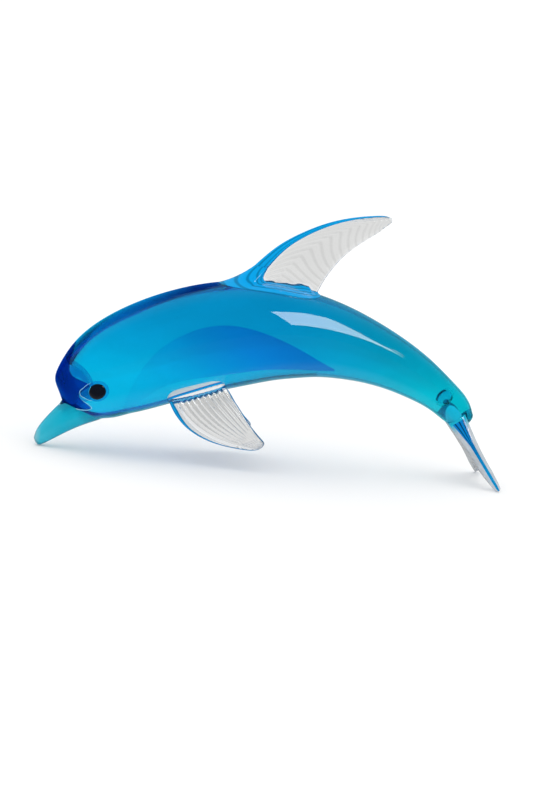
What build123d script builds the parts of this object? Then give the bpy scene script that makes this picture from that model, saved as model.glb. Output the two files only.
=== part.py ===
from build123d import *
import math
import os

# A hot-worked glass dolphin, leaping, 236 mm long. Its nose points to -X, its
# back to +Z and its left side to -Y. It rests on its beak and its two fluke tips.
# All sizes are in millimetres.

# Body: stations along the arched centre line, each (x, z, radius in side view)
body_stations = [
    (-104.8, 17.8, 3),
    (-100.3, 22.7, 10.8),
    (-90, 34.2, 21.4),
    (-70, 47.9, 26.3),
    (-43.4, 59, 27.6),
    (-16.7, 65.8, 26.4),
    (9.9, 67.5, 22.7),
    (36.5, 64.1, 17.8),
    (63.1, 55.6, 13.2),
    (88.6, 41.4, 9),
    (96.3, 34.8, 7.8),
    (99.6, 30.9, 6.2),
    (101.6, 28.6, 3),
]
body_flatness = 0.83
casing_wall = 2.4

# Deep blue core: stations (x, z, half height), and how much wider it is than high
core_stations = [
    (-73, 30, 1.5),
    (-64, 41, 4),
    (-55, 48, 6.5),
    (-42, 54.5, 8.5),
    (-27, 59, 9),
    (-8, 60.5, 6.5),
    (12, 59, 3.5),
    (34, 55, 1.2),
]
core_flatness = 1.25

# Beak: stations from inside the head to the tip, each (x, z, radius)
beak_stations = [
    (-95, 17.3, 9),
    (-103, 12.2, 7.2),
    (-110, 6.9, 5.3),
    (-115, 2.8, 3.9),
    (-118, 0.9, 1.7),
]
beak_flatness = 1.15

# Cobalt overlay on the forehead and along the back
overlay_half_width = 6
cap_reach = 30
cap_outline = [(-125, 60), (-109, 52), (-103, 41), (-98, 34), (-98, 22), (-106, 15), (-125, 15)]
stripe_outline = [(-125, 60), (-109, 52), (-70, 60), (-18, 74), (-18, 110), (-125, 110)]

# Eyes
eye_centre = Vector(-91.8, -15.4, 32)
eye_bead_radius = 3.9
eye_ring_radius = 5

# Air bubble in the tail
bubble_centre = (88.4, 0, 42)
bubble_radius = 3

# Fin plates are cut from thick stock by a wedge that tapers them
fin_stock = 6
wedge_reach = 80

# Dorsal fin
dorsal_front = [(-21, 84), (-19.5, 94.5), (-8.4, 108.5), (8.5, 120.2), (26, 127.2), (43.9, 131)]
dorsal_tip = (48.8, 130)
dorsal_rear = [(49.8, 127), (39.5, 118.2), (28.5, 108.4), (20, 95.5), (16.5, 84)]
dorsal_panel_front = [(-9, 84), (-11.5, 96), (-4.3, 107), (9.4, 117.6), (26.6, 125.7), (43.5, 129.6)]
dorsal_panel_tip = (44.5, 129.9)
dorsal_panel_rear = [(60, 128), (50, 112), (35, 95), (30, 84)]
dorsal_span = (84, 132)
dorsal_half_thicknesses = (2.7, 1.1)
saddle_centre = (-2, 0)
saddle_foot = (84, 24, 9)
saddle_crest = (94, 16.5, 2.6)

# Pectoral fins: a plane through the left fin's root, x along the root, y to the tip
pectoral_origin = (-54, -14, 32)
pectoral_x = Vector(0.946, 0, 0.323)
pectoral_normal = Vector(0.12, 0.928, -0.352)
pectoral_front = [(-1, -8), (0, 3.5), (5.7, 18.5), (15.8, 27.9), (32.4, 35.8)]
pectoral_tip = (38.5, 35.2)
pectoral_rear = [(40, 32.5), (35.7, 23), (32.2, 12.2), (27, -8)]
pectoral_panel_front = [(5, -8), (6, 4), (9, 14), (17, 23.5), (33, 32.5)]
pectoral_panel_tip = (36, 34.5)
pectoral_panel_rear = [(45, 36), (50, 20), (45, 5), (40, -8)]
pectoral_span = (-8, 37)
pectoral_half_thicknesses = (2.6, 1.1)
pectoral_pad_centre = (14, -2.5)
pectoral_pad_size = (33, 11, 3.4)
pectoral_pad_corner = 4

# Flukes: a plane through the tail, x along the tail, y to the right
fluke_origin = (92, 0, 37)
fluke_slope = math.radians(55.6)
fluke_root = (12, 0)
fluke_front = [(12, -7.2), (20, -10.2), (32, -17.8), (45.5, -28.5)]
fluke_tip = (46.3, -28.3)
fluke_rear = [(46.5, -27.4), (41, -21.5), (35, -11), (29, 0)]
fluke_blade_front = [(12, -4.8), (20, -7.6), (33, -15.8), (46.5, -28)]
fluke_blade_tip = (48, -27)
fluke_blade_rear = [(48.5, -26), (45, -15), (38, -5), (33, 0)]
fluke_span = (4, 48)
fluke_half_thicknesses = (3.4, 1.2)
knuckle_stations = [(-3, 7, 7), (4, 7.6, 6.2), (11, 7.8, 4.6), (17, 7.4, 3)]

sides = ((-1, "left"), (1, "right"))

os.makedirs("parts", exist_ok=True)


def heading(stations, index):
    """Unit direction of the centre line at one station, in the XZ plane."""
    before = stations[max(index - 1, 0)]
    after = stations[min(index + 1, len(stations) - 1)]
    return Vector(after[0] - before[0], 0, after[1] - before[1]).normalized()


def lofted_gather(stations, flatness, wall=0):
    """A rounded gather of glass: ellipses square to a centre line, lofted end to end."""
    with BuildPart() as gather:
        for index, (x, z, radius) in enumerate(stations):
            section = Plane(origin=(x, 0, z), x_dir=(0, 1, 0), z_dir=heading(stations, index))
            with BuildSketch(section):
                Ellipse(radius * flatness - wall, radius - wall)
        loft()
    return gather.part


def side_slab(outline, reach):
    """A slab with this outline in side view, reaching equally to both sides."""
    with BuildPart() as slab:
        with BuildSketch(Plane.XZ):
            with BuildLine():
                Polyline(*outline, close=True)
            make_face()
        extrude(amount=reach, both=True)
    return slab.part


def fin_plate(plane, front, tip, rear, thickness, corners=()):
    """A flat plate of this half thickness: two curves that meet at a rounded tip."""
    with BuildPart() as plate:
        with BuildSketch(plane):
            with BuildLine():
                Spline(*front)
                ThreePointArc(front[-1], tip, rear[0])
                Spline(*rear)
                Polyline(rear[-1], *corners, front[0])
            make_face()
        extrude(amount=thickness, both=True)
    return plate.part


def taper_wedge(plane, span, half_thicknesses, reach):
    """A long wedge across a fin: thick at the start of the span and thin at its end."""
    start, end = span
    thick, thin = half_thicknesses
    with BuildPart() as wedge:
        with BuildSketch(plane):
            with BuildLine():
                Polyline((start, -thick), (end, -thin), (end, thin), (start, thick), close=True)
            make_face()
        extrude(amount=reach, both=True)
    return wedge.part


def eye_ball(radius, side):
    """A ball at an eye: side is -1 on the left and 1 on the right."""
    with BuildPart() as ball:
        with Locations((eye_centre.X, -side * eye_centre.Y, eye_centre.Z)):
            Sphere(radius)
    return ball.part


# Shapes that several pieces share
body_skin = lofted_gather(body_stations, body_flatness)
gather_skin = lofted_gather(body_stations[1:-1], body_flatness, casing_wall)
core_skin = lofted_gather(core_stations, core_flatness)
cap_zone = side_slab(cap_outline, cap_reach)
stripe_zone = side_slab(stripe_outline, overlay_half_width)

# Deep blue core
with BuildPart() as blue_core:
    add(core_skin)
blue_core.part.label = "blue_core"
export_step(blue_core.part, "parts/blue_core.step")

# Aqua gather around the core, with the air bubble near the tail
with BuildPart() as aqua_gather:
    add(gather_skin)
    add(core_skin, mode=Mode.SUBTRACT)
    with Locations(bubble_centre):
        Sphere(bubble_radius, mode=Mode.SUBTRACT)
aqua_gather.part.label = "aqua_gather"
export_step(aqua_gather.part, "parts/aqua_gather.step")

# Cobalt cap on the forehead
with BuildPart() as cobalt_cap:
    add(body_skin)
    add(cap_zone, mode=Mode.INTERSECT)
    add(gather_skin, mode=Mode.SUBTRACT)
cobalt_cap.part.label = "cobalt_cap"
export_step(cobalt_cap.part, "parts/cobalt_cap.step")

# Cobalt stripe along the back
with BuildPart() as back_stripe:
    add(body_skin)
    add(stripe_zone, mode=Mode.INTERSECT)
    add(gather_skin, mode=Mode.SUBTRACT)
    add(cap_zone, mode=Mode.SUBTRACT)
back_stripe.part.label = "back_stripe"
export_step(back_stripe.part, "parts/back_stripe.step")

# Clear outer casing, with seats for the overlay and the eyes
with BuildPart() as casing:
    add(body_skin)
    add(gather_skin, mode=Mode.SUBTRACT)
    add(cap_zone, mode=Mode.SUBTRACT)
    add(stripe_zone, mode=Mode.SUBTRACT)
    for side, name in sides:
        add(eye_ball(eye_ring_radius, side), mode=Mode.SUBTRACT)
        add(eye_ball(eye_bead_radius, side), mode=Mode.SUBTRACT)
casing.part.label = "casing"
export_step(casing.part, "parts/casing.step")

# Eyes: on each side a black bead inside a clear ring, both seated on the aqua gather
for side, name in sides:
    with BuildPart() as eye_bead:
        add(eye_ball(eye_bead_radius, side))
        add(gather_skin, mode=Mode.SUBTRACT)
    eye_bead.part.label = f"eye_bead_{name}"
    export_step(eye_bead.part, f"parts/eye_bead_{name}.step")

    with BuildPart() as eye_ring:
        add(eye_ball(eye_ring_radius, side))
        add(body_skin, mode=Mode.INTERSECT)
        add(gather_skin, mode=Mode.SUBTRACT)
        add(eye_ball(eye_bead_radius, side), mode=Mode.SUBTRACT)
    eye_ring.part.label = f"eye_ring_{name}"
    export_step(eye_ring.part, f"parts/eye_ring_{name}.step")

# Beak
with BuildPart() as beak:
    add(lofted_gather(beak_stations, beak_flatness))
    add(body_skin, mode=Mode.SUBTRACT)
    split(bisect_by=Plane.XY, keep=Keep.TOP)
beak.part.label = "beak"
export_step(beak.part, "parts/beak.step")


# Dorsal fin: a blue flared saddle, a crimped clear panel and a blue leading edge
dorsal_skin = fin_plate(Plane.XZ, dorsal_front, dorsal_tip, dorsal_rear, fin_stock)
dorsal_wedge = taper_wedge(
    Plane(origin=(0, 0, 0), x_dir=(0, 0, 1), z_dir=(1, 0, 0)),
    dorsal_span,
    dorsal_half_thicknesses,
    wedge_reach,
)
dorsal_panel_zone = fin_plate(
    Plane.XZ, dorsal_panel_front, dorsal_panel_tip, dorsal_panel_rear, fin_stock
)

with BuildPart() as dorsal_saddle:
    for height, half_length, half_width in (saddle_foot, saddle_crest):
        with BuildSketch(Plane.XY.offset(height)):
            with Locations(saddle_centre):
                Ellipse(half_length, half_width)
    loft()
    add(body_skin, mode=Mode.SUBTRACT)
dorsal_saddle.part.label = "dorsal_saddle"
export_step(dorsal_saddle.part, "parts/dorsal_saddle.step")

with BuildPart() as dorsal_panel:
    add(dorsal_skin)
    add(dorsal_wedge, mode=Mode.INTERSECT)
    add(dorsal_panel_zone, mode=Mode.INTERSECT)
    add(body_skin, mode=Mode.SUBTRACT)
    add(dorsal_saddle.part, mode=Mode.SUBTRACT)
dorsal_panel.part.label = "dorsal_panel"
export_step(dorsal_panel.part, "parts/dorsal_panel.step")

with BuildPart() as dorsal_edge:
    add(dorsal_skin)
    add(dorsal_wedge, mode=Mode.INTERSECT)
    add(dorsal_panel_zone, mode=Mode.SUBTRACT)
    add(body_skin, mode=Mode.SUBTRACT)
    add(dorsal_saddle.part, mode=Mode.SUBTRACT)
dorsal_edge.part.label = "dorsal_edge"
export_step(dorsal_edge.part, "parts/dorsal_edge.step")

# Pectoral fins: a blue pad on the flank, a crimped clear panel and a blue leading edge
pectoral_plane = Plane(origin=pectoral_origin, x_dir=pectoral_x, z_dir=pectoral_normal)
pectoral_skin = fin_plate(
    pectoral_plane, pectoral_front, pectoral_tip, pectoral_rear, fin_stock
)
pectoral_panel_zone = fin_plate(
    pectoral_plane, pectoral_panel_front, pectoral_panel_tip, pectoral_panel_rear, fin_stock
)
pectoral_wedge = taper_wedge(
    Plane(origin=pectoral_origin, x_dir=pectoral_plane.y_dir, z_dir=pectoral_x),
    pectoral_span,
    pectoral_half_thicknesses,
    wedge_reach,
)

with BuildPart() as pectoral_pad_left:
    pad_length, pad_depth, pad_half_thickness = pectoral_pad_size
    with BuildSketch(pectoral_plane):
        with Locations(pectoral_pad_centre):
            RectangleRounded(pad_length, pad_depth, pectoral_pad_corner)
    extrude(amount=pad_half_thickness, both=True)
    add(body_skin, mode=Mode.SUBTRACT)

with BuildPart() as pectoral_panel_left:
    add(pectoral_skin)
    add(pectoral_wedge, mode=Mode.INTERSECT)
    add(pectoral_panel_zone, mode=Mode.INTERSECT)
    add(body_skin, mode=Mode.SUBTRACT)
    add(pectoral_pad_left.part, mode=Mode.SUBTRACT)

with BuildPart() as pectoral_edge_left:
    add(pectoral_skin)
    add(pectoral_wedge, mode=Mode.INTERSECT)
    add(pectoral_panel_zone, mode=Mode.SUBTRACT)
    add(body_skin, mode=Mode.SUBTRACT)
    add(pectoral_pad_left.part, mode=Mode.SUBTRACT)

# Tail: a thick clear knuckle, then on each side a clear blade with a blue leading edge
tail_along = Vector(math.cos(fluke_slope), 0, -math.sin(fluke_slope))
tail_normal = Vector(math.sin(fluke_slope), 0, math.cos(fluke_slope))
fluke_plane = Plane(origin=fluke_origin, x_dir=tail_along, z_dir=tail_normal)
fluke_skin = fin_plate(
    fluke_plane, fluke_front, fluke_tip, fluke_rear, fin_stock, [fluke_root]
)
fluke_blade_zone = fin_plate(
    fluke_plane, fluke_blade_front, fluke_blade_tip, fluke_blade_rear, fin_stock, [fluke_root]
)
fluke_wedge = taper_wedge(
    Plane(origin=fluke_origin, x_dir=tail_along, z_dir=(0, -1, 0)),
    fluke_span,
    fluke_half_thicknesses,
    wedge_reach,
)

with BuildPart() as tail_knuckle:
    for distance, half_width, half_thickness in knuckle_stations:
        station = Vector(*fluke_origin) + tail_along * distance
        with BuildSketch(Plane(origin=station, x_dir=(0, 1, 0), z_dir=tail_along)):
            Ellipse(half_width, half_thickness)
    loft()
    add(body_skin, mode=Mode.SUBTRACT)
tail_knuckle.part.label = "tail_knuckle"
export_step(tail_knuckle.part, "parts/tail_knuckle.step")

with BuildPart() as fluke_blade_left:
    add(fluke_skin)
    add(fluke_wedge, mode=Mode.INTERSECT)
    add(fluke_blade_zone, mode=Mode.INTERSECT)
    add(body_skin, mode=Mode.SUBTRACT)
    add(tail_knuckle.part, mode=Mode.SUBTRACT)
    split(bisect_by=Plane.XY, keep=Keep.TOP)

with BuildPart() as fluke_edge_left:
    add(fluke_skin)
    add(fluke_wedge, mode=Mode.INTERSECT)
    add(fluke_blade_zone, mode=Mode.SUBTRACT)
    add(body_skin, mode=Mode.SUBTRACT)
    add(tail_knuckle.part, mode=Mode.SUBTRACT)
    split(bisect_by=Plane.XY, keep=Keep.TOP)

# The paired pieces: the left one as built, and its mirror image on the right
pairs = {
    "pectoral_pad": pectoral_pad_left,
    "pectoral_panel": pectoral_panel_left,
    "pectoral_edge": pectoral_edge_left,
    "fluke_blade": fluke_blade_left,
    "fluke_edge": fluke_edge_left,
}
for name, left in pairs.items():
    with BuildPart() as right:
        mirror(left.part, about=Plane.XZ)
    left.part.label = f"{name}_left"
    export_step(left.part, f"parts/{name}_left.step")
    right.part.label = f"{name}_right"
    export_step(right.part, f"parts/{name}_right.step")
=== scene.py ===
import math

import bmesh
import bpy
import numpy as np
from mathutils import Matrix, Vector
from mathutils.bvhtree import BVHTree


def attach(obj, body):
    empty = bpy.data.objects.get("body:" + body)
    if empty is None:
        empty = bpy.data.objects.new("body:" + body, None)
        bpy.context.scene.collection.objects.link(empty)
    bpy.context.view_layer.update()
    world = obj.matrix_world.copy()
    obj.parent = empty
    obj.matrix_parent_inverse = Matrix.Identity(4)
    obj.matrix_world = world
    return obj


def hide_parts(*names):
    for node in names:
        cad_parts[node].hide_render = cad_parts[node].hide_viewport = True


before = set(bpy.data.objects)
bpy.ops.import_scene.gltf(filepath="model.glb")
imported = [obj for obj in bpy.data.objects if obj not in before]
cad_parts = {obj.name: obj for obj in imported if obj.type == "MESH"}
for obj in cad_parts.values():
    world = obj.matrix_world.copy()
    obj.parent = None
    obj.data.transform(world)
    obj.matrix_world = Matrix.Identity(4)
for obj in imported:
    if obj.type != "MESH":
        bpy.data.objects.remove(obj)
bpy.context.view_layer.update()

# Shapes are given in millimetres in the CAD's frame: +X from nose to tail, +Z up, and the
# dolphin's left side at -Y.
MM = 0.001
TURN = 2 * math.pi
SHARP_ANGLE = math.radians(50)
# Where an overlay ends, its outer and inner faces lie this far under the skin it is laid on
LENS_SINK = (0.04, 0.06)
STRIP_SINK = (0.05, 0.10)
EDGE_SINK = (0.02, 0.05)


# ------------ curves and meshes

class Curve:
    """A smooth curve through points of any dimension (natural cubic spline), for t from 0 to 1."""

    def __init__(self, points, even=False):
        self.points = np.array(points, float)
        count = len(self.points)
        steps = np.linalg.norm(np.diff(self.points[:, :2], axis=0), axis=1)
        if even:
            steps = np.ones(count - 1)
        self.knots = np.concatenate([[0], np.cumsum(steps)])
        self.length = self.knots[-1]
        gaps = np.diff(self.knots)
        system = np.eye(count)
        target = np.zeros_like(self.points)
        slopes = np.diff(self.points, axis=0) / gaps[:, None]
        for i in range(1, count - 1):
            system[i, i - 1] = gaps[i - 1]
            system[i, i] = 2 * (gaps[i - 1] + gaps[i])
            system[i, i + 1] = gaps[i]
            target[i] = 6 * (slopes[i] - slopes[i - 1])
        self.bends = np.linalg.solve(system, target)

    def __call__(self, t):
        place = np.clip(np.asarray(t, float), 0, 1) * self.length
        i = np.clip(np.searchsorted(self.knots, place, side="right") - 1, 0, len(self.knots) - 2)
        gap = self.knots[i + 1] - self.knots[i]
        a = ((self.knots[i + 1] - place) / gap)[..., None]
        b = ((place - self.knots[i]) / gap)[..., None]
        bend = ((a**3 - a) * self.bends[i] + (b**3 - b) * self.bends[i + 1]) * gap[..., None] ** 2 / 6
        return a * self.points[i] + b * self.points[i + 1] + bend

    def heading(self, t, step=1e-3):
        """Unit direction of the curve in its first two dimensions."""
        ahead = (self(t + step) - self(t - step))[..., :2]
        return ahead / np.linalg.norm(ahead, axis=-1, keepdims=True)


def smooth_step(low, high, value):
    t = np.clip((value - low) / (high - low), 0, 1)
    return t * t * (3 - 2 * t)


def rounded(value):
    """Falls from 1 to 0 as a value goes from 0 to 1: along a quarter circle for a square."""
    return np.sqrt(np.clip(1 - value, 0, 1))


def full_turn(count):
    """A row of angles, evenly spaced round a full turn."""
    return np.linspace(0, TURN, count, endpoint=False)[None, :]


def mesh_object(name, points, faces, marks=None):
    """A smooth-shaded mesh object from points in millimetres.

    marks holds a number for each point, by the name of the mesh attribute that keeps it."""
    mesh = bpy.data.meshes.new(name)
    mesh.from_pydata((np.asarray(points) * MM).tolist(), [], faces)
    for word, values in (marks or {}).items():
        mark = mesh.attributes.new(word, "FLOAT", "POINT")
        mark.data.foreach_set("value", np.asarray(values, np.float32))
    mesh.validate()
    fix = bmesh.new()
    fix.from_mesh(mesh)
    bmesh.ops.remove_doubles(fix, verts=fix.verts, dist=1e-7)
    bmesh.ops.recalc_face_normals(fix, faces=fix.faces)
    fix.to_mesh(mesh)
    fix.free()
    mesh.shade_smooth()
    piece = bpy.data.objects.new(name, mesh)
    bpy.context.scene.collection.objects.link(piece)
    return piece


def tube_faces(rings, around, first=0, flip=False):
    faces = []
    for i in range(rings - 1):
        for j in range(around):
            k = (j + 1) % around
            a, b = first + i * around + j, first + i * around + k
            c, d = first + (i + 1) * around + k, first + (i + 1) * around + j
            faces.append((a, d, c, b) if flip else (a, b, c, d))
    return faces


def close_end(points, faces, ring, first):
    """Closes a ring of points with a fan of faces to its centre."""
    centre = len(points)
    points.append(ring.mean(axis=0))
    for j in range(len(ring)):
        faces.append((first + j, first + (j + 1) % len(ring), centre))


def closed_tube(name, rings, marks=None):
    """A closed skin over rings of points (rings, around, 3), its ends closed to their centres."""
    count, around = rings.shape[:2]
    points = list(rings.reshape(-1, 3))
    faces = tube_faces(count, around)
    close_end(points, faces, rings[0], 0)
    close_end(points, faces, rings[-1], (count - 1) * around)
    spread = {
        word: np.concatenate([np.broadcast_to(values, (count, around)).reshape(-1), (0, 0)])
        for word, values in (marks or {}).items()
    }
    return mesh_object(name, points, faces, spread)


def closed_sheet(name, outer, inner, wrap=False, across=None):
    """A closed shell between two grids of points (n, m, 3), joined along their edges.

    across gives each column of the grid its place across the piece, kept as a mesh attribute."""
    n, m = outer.shape[:2]
    points = np.concatenate([outer.reshape(-1, 3), inner.reshape(-1, 3)])
    low = n * m
    columns = m if wrap else m - 1
    faces = []
    for i in range(n - 1):
        for j in range(columns):
            k = (j + 1) % m
            a, b, c, d = i * m + j, i * m + k, (i + 1) * m + k, (i + 1) * m + j
            faces.append((a, b, c, d))
            faces.append((low + a, low + d, low + c, low + b))
    for i in (0, n - 1):
        for j in range(columns):
            a, b = i * m + j, i * m + (j + 1) % m
            faces.append((a, b, low + b, low + a))
    if not wrap:
        for j in (0, m - 1):
            for i in range(n - 1):
                a, b = i * m + j, (i + 1) * m + j
                faces.append((a, b, low + b, low + a))
    marks = {}
    if across is not None:
        marks["across"] = np.tile(np.broadcast_to(across, (n, m)).reshape(-1), 2)
    return mesh_object(name, points, faces, marks)


def trim(piece, cutter):
    """Cuts another closed mesh away from a piece, and shades the cut as a sharp edge."""
    cut = piece.modifiers.new("trim", "BOOLEAN")
    cut.operation = "DIFFERENCE"
    cut.solver = "EXACT"
    cut.object = cutter
    graph = bpy.context.evaluated_depsgraph_get()
    mesh = bpy.data.meshes.new_from_object(piece.evaluated_get(graph))
    piece.modifiers.clear()
    old = piece.data
    piece.data = mesh
    bpy.data.meshes.remove(old)
    mesh.shade_smooth()
    mesh.set_sharp_from_angle(angle=SHARP_ANGLE)
    return piece


def discard(piece):
    mesh = piece.data
    bpy.data.objects.remove(piece)
    bpy.data.meshes.remove(mesh)


# ------------ the body

# Stations along the arched centre line: (x, z, radius in side view)
BODY_STATIONS = [
    (-102.2, 20.6, 4.6), (-100.3, 22.7, 10.8), (-96.4, 27.6, 17.2), (-90, 34.2, 21.4),
    (-83.3, 39.9, 23.9), (-70, 47.9, 26.3), (-56.7, 54.0, 27.3), (-43.4, 59.0, 27.6),
    (-30, 63.0, 27.3), (-16.7, 65.8, 26.4), (-3.4, 67.4, 24.8), (9.9, 67.5, 22.7),
    (23.2, 66.5, 20.2), (36.5, 64.1, 17.8), (49.8, 60.5, 15.4), (63.1, 55.6, 13.2),
    (76.4, 49.1, 11.0), (88.6, 41.4, 9.0), (96.3, 34.8, 7.8), (99.6, 30.9, 6.2),
]
BODY_FLATNESS = 0.83
HEAD_DOME = 4.5
TAIL_DOME = 3.2
BODY_RINGS = 150
BODY_AROUND = 96

body_curve = Curve(BODY_STATIONS)


def centre_line(t):
    """Centre, forward direction and radius of the body at t, which runs from -1 to 2.

    The middle stretch is 0 to 1. Below 0 and above 1 lie the domes that close its ends."""
    t = np.asarray(t, float)
    inside = np.clip(t, 0, 1)
    spot = body_curve(inside)
    along = body_curve.heading(inside)
    head, tail = np.clip(-t, 0, 1), np.clip(t - 1, 0, 1)
    centre = spot[..., :2] + along * (tail * TAIL_DOME - head * HEAD_DOME)[..., None]
    radius = spot[..., 2] * rounded(head**2) * rounded(tail**2)
    return centre, along, radius


def body_points(t, angle, inset=0.0):
    """Points on the body's skin: angle 0 is the back, a quarter turn is the right side."""
    centre, along, radius = centre_line(t)
    depth = np.minimum(inset, radius * 0.98)
    high = radius - depth
    wide = high * BODY_FLATNESS
    up_x, up_z = -along[..., 1], along[..., 0]
    x = centre[..., 0] + up_x * high * np.cos(angle)
    y = wide * np.sin(angle)
    z = centre[..., 1] + up_z * high * np.cos(angle)
    return np.stack(np.broadcast_arrays(x, y, z), axis=-1)


def dome_spaced(rings, end_rings=14):
    """Values of t that crowd towards the tips of both domes."""
    ease = np.sin(np.linspace(0, math.pi / 2, end_rings, endpoint=False))
    return np.concatenate([-ease[::-1][:-1], np.linspace(0, 1, rings), 1 + ease[1:]])


def body_skin(name, inset=0.0):
    t = dome_spaced(BODY_RINGS)[:, None]
    angle = full_turn(BODY_AROUND)
    return closed_tube(name, body_points(t, angle, inset))


# ------------ materials

class Shading:
    """The nodes of a material or of the world, with short ways to add to them."""

    def __init__(self, owner):
        owner.use_nodes = True
        self.nodes = owner.node_tree.nodes
        self.links = owner.node_tree.links

    def feed(self, socket, value):
        """Links a socket to another node's output, or sets it to a plain value."""
        if isinstance(value, bpy.types.NodeSocket):
            self.links.new(value, socket)
        else:
            socket.default_value = value

    def add(self, kind, *values, **settings):
        """Adds a node, sets its properties by name and feeds its first sockets in order."""
        node = self.nodes.new("ShaderNode" + kind)
        for word, setting in settings.items():
            setattr(node, word, setting)
        for socket, value in zip(node.inputs, values):
            self.feed(socket, value)
        return node

    def math(self, operation, *values, clamp=False):
        return self.add("Math", *values, operation=operation, use_clamp=clamp).outputs["Value"]

    def multiply(self, colour, amount):
        return self.add("VectorMath", colour, amount, operation="MULTIPLY").outputs["Vector"]

    def remap(self, value, source, target, smooth=False):
        """Takes a value from one range to another. The target's ends may be outputs too."""
        kind = "SMOOTHSTEP" if smooth else "LINEAR"
        return self.add("MapRange", value, *source, *target, interpolation_type=kind).outputs["Result"]

    def mark(self, name):
        """Reads a mesh attribute."""
        return self.add("Attribute", attribute_name=name).outputs["Fac"]


# Soft streaks lie along the body: the noise behind them is stretched along X
STREAK_STRETCH = (0.35, 1.0, 1.0)
STREAK_RANGE = (0.35, 0.65)
ROUGHNESS_DRIFT = 0.015
BUMP_DISTANCE = 0.001
# Layer Weight's Facing values between which edge-on glass turns milky
EDGE_ON = (0.5, 0.85)
# How far the threads wander across a piece with the noise
STRAND_WANDER = 0.16


def glass(name, stops, axis=(1, 0, 0), mark=None, ior=1.5, clarity=1.0, streak=0.94,
          roughness=0.0, waviness=0.02, grain=60.0, strands=None, edge_milk=0.0, glow=0.0):
    """Glass whose tint changes along an axis and drifts in soft streaks.

    stops are (place, colour): millimetres along the axis, or values of the mesh attribute that
    mark names. clarity below 1 makes the glass partly milky, and edge_milk more so where it turns
    edge-on. strands is (mesh attribute, count, depth) for thin darker threads counted across,
    with a second attribute where they show only on part of the piece. glow is faint light of
    the first stop's colour."""
    material = bpy.data.materials.new(name)
    shading = Shading(material)
    shader = shading.nodes["Principled BSDF"]
    shader.inputs["IOR"].default_value = ior
    shader.inputs["Transmission Weight"].default_value = clarity
    if edge_milk:
        facing = shading.add("LayerWeight").outputs["Facing"]
        milk = shading.remap(facing, EDGE_ON, (clarity, clarity - edge_milk))
        shading.feed(shader.inputs["Transmission Weight"], milk)
    if glow:
        shader.inputs["Emission Color"].default_value = (*stops[0][1], 1)
        shader.inputs["Emission Strength"].default_value = glow

    place = shading.add("TexCoord").outputs["Object"]
    low, high = stops[0][0], stops[-1][0]
    if mark:
        span = shading.remap(shading.mark(mark), (low, high), (0, 1))
    else:
        along = shading.add("VectorMath", place, axis, operation="DOT_PRODUCT").outputs["Value"]
        span = shading.remap(along, (low * MM, high * MM), (0, 1))
    ramp = shading.add("ValToRGB", span)
    while len(ramp.color_ramp.elements) < len(stops):
        ramp.color_ramp.elements.new(0.5)
    for element, (distance, colour) in zip(ramp.color_ramp.elements, stops):
        element.position = (distance - low) / (high - low)
        element.color = (*colour, 1)

    stretch = shading.add("Mapping", place)
    stretch.inputs["Scale"].default_value = STREAK_STRETCH
    noise = shading.add("TexNoise", stretch.outputs["Vector"])
    noise.inputs["Scale"].default_value = grain
    noise.inputs["Detail"].default_value = 2.0
    drift = noise.outputs["Fac"]
    tint = shading.multiply(ramp.outputs["Color"], shading.remap(drift, STREAK_RANGE, (streak, 1)))
    if strands:
        tint = add_strands(shading, tint, drift, *strands)
    shading.feed(shader.inputs["Base Color"], tint)

    polish = shading.remap(drift, (0, 1), (roughness, roughness + ROUGHNESS_DRIFT))
    shading.feed(shader.inputs["Roughness"], polish)
    if waviness > 0:
        bump = shading.add("Bump")
        bump.inputs["Strength"].default_value = waviness
        bump.inputs["Distance"].default_value = BUMP_DISTANCE
        shading.feed(bump.inputs["Height"], drift)
        shading.feed(shader.inputs["Normal"], bump.outputs["Normal"])
    return material


def add_strands(shading, tint, drift, attribute, count, depth, within=None):
    """Darkens a tint along thin threads, counted across the piece by a mesh attribute.

    within names a second attribute that is 1 where the threads show and 0 where they don't."""
    across = shading.math("MULTIPLY_ADD", drift, STRAND_WANDER, shading.mark(attribute))
    wave = shading.math("SINE", shading.math("MULTIPLY", across, count * TURN))
    if within:
        wave = shading.math("MULTIPLY", wave, shading.mark(within))
    return shading.multiply(tint, shading.remap(wave, (0.2, 1), (1, 1 - depth), smooth=True))


def finish_piece(piece, material, slot, *nodes):
    """Gives a piece its glass and hides the CAD nodes that it stands for. slot is not used."""
    piece.data.materials.clear()
    piece.data.materials.append(material)
    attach(piece, "root")
    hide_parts(*nodes)


casing_glass = glass("casing_glass", (
    (20, (0.01, 0.84, 0.96)), (44, (0.01, 0.78, 0.95)), (58, (0.01, 0.56, 0.79)),
    (72, (0.01, 0.48, 0.72)), (90, (0.01, 0.45, 0.67)),
), axis=(0, 0, 1), clarity=0.97, edge_milk=0.55)
aqua_glass = glass("aqua_glass", (
    (-105, (0.01, 0.64, 0.90)), (-60, (0.01, 0.64, 0.88)), (0, (0.01, 0.63, 0.86)),
    (55, (0.01, 0.66, 0.74)), (95, (0.01, 0.68, 0.70)),
), ior=1.0, waviness=0)
core_glass = glass("core_glass", (
    (-10, (0.5, 0.95, 1.0)), (12, (0.45, 0.86, 1.0)), (38, (0.4, 0.62, 0.99)), (56, (0.35, 0.50, 0.92)),
), axis=(0.6, 0, 0.8), ior=1.0, waviness=0)
cobalt_glass = glass("cobalt_glass", (
    (-110, (0.01, 0.08, 0.40)), (-103, (0.01, 0.12, 0.50)), (-92, (0.01, 0.22, 0.66)),
    (-80, (0.01, 0.32, 0.74)),
), ior=1.0, waviness=0)
stripe_glass = glass("stripe_glass", (
    (-95, (0.01, 0.60, 0.98)), (-70, (0.01, 0.42, 0.84)), (-45, (0.01, 0.08, 0.38)),
    (-10, (0.01, 0.18, 0.58)), (10, (0.01, 0.5, 0.8)),
), ior=1.0, waviness=0)
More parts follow.
